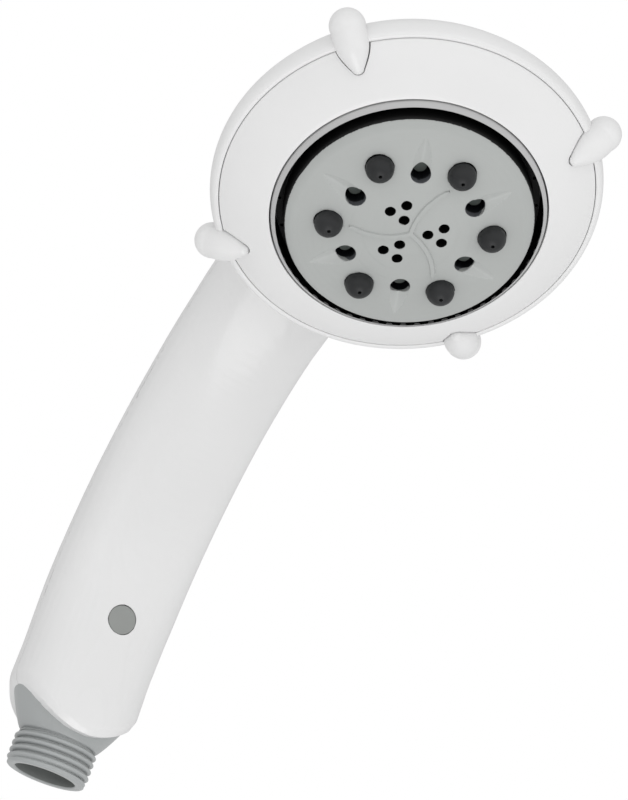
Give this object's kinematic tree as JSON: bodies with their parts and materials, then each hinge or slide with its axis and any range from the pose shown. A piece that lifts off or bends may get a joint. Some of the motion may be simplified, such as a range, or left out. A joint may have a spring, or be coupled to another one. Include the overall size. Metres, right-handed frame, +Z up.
{
  "type": "handheld shower head",
  "caption": "Handheld shower head with a curved two-shell handle, a threaded hose inlet and a round turning spray face set with ball nozzles",
  "frame": {"origin": "the middle of the open end face of the hose inlet, on the inlet's axis", "axes": "+Z runs up the inlet's axis into the handle, -Y is the side that sprays, +X is to the right when looking along +Y at the spray face"},
  "size_m": [0.0938, 0.1413, 0.1828],
  "materials": {
    "handle_white": "satin",
    "face_white": "satin",
    "plate_grey": "satin",
    "ring_grey": "satin",
    "cover_grey": "satin",
    "connector_grey": "satin",
    "nozzle_dark": "gloss",
    "inner_plastic": "satin",
    "valve_plastic": "satin",
    "seal_rubber": "matte",
    "screw_steel": "satin",
    "spring_steel": "polished",
    "ball_steel": "polished"
  },
  "bodies": {
    "handle": {"handle_front_shell": "handle_white", "handle_rear_shell": "handle_white", "inlet_connector": "connector_grey", "flow_restrictor": "inner_plastic", "restrictor_seal": "seal_rubber", "water_tube": "inner_plastic", "tube_seal_lower": "seal_rubber", "tube_seal_upper": "seal_rubber", "screw_cover": "cover_grey", "connector_screw": "screw_steel", "valve_body": "valve_plastic", "valve_screws": "screw_steel", "port_seal": "seal_rubber", "port_spring": "spring_steel", "pivot_seal": "seal_rubber", "pivot_washer": "inner_plastic", "pivot_screw": "screw_steel", "detent_spring": "spring_steel"},
    "spray_head": {"grip_ring": "face_white", "face_plate": "face_white", "serrated_ring": "ring_grey", "nozzle_plate": "plate_grey", "ball_nozzle_1": "nozzle_dark", "ball_nozzle_2": "nozzle_dark", "ball_nozzle_3": "nozzle_dark", "ball_nozzle_4": "nozzle_dark", "ball_nozzle_5": "nozzle_dark", "ball_nozzle_6": "nozzle_dark", "chamber_gasket": "seal_rubber", "distributor_plate": "valve_plastic", "chamber_screws": "screw_steel", "index_plate": "valve_plastic", "face_screws": "screw_steel"},
    "detent_ball": {"detent_ball": "ball_steel"}
  },
  "joints": [
    {"name": "spray_selector", "type": "hinge", "parent": "handle", "child": "spray_head", "pos_m": [0, -0.0925, 0.1445], "axis": [0, -0.6428, -0.766], "range_deg": [-60, 60]},
    {"name": "detent_click", "type": "slide", "parent": "handle", "child": "detent_ball", "axis": [0, -0.6428, -0.766], "range_m": [0, 0.0008], "stiffness_N_per_m": 500, "springref_m": 0.0008}
  ]
}
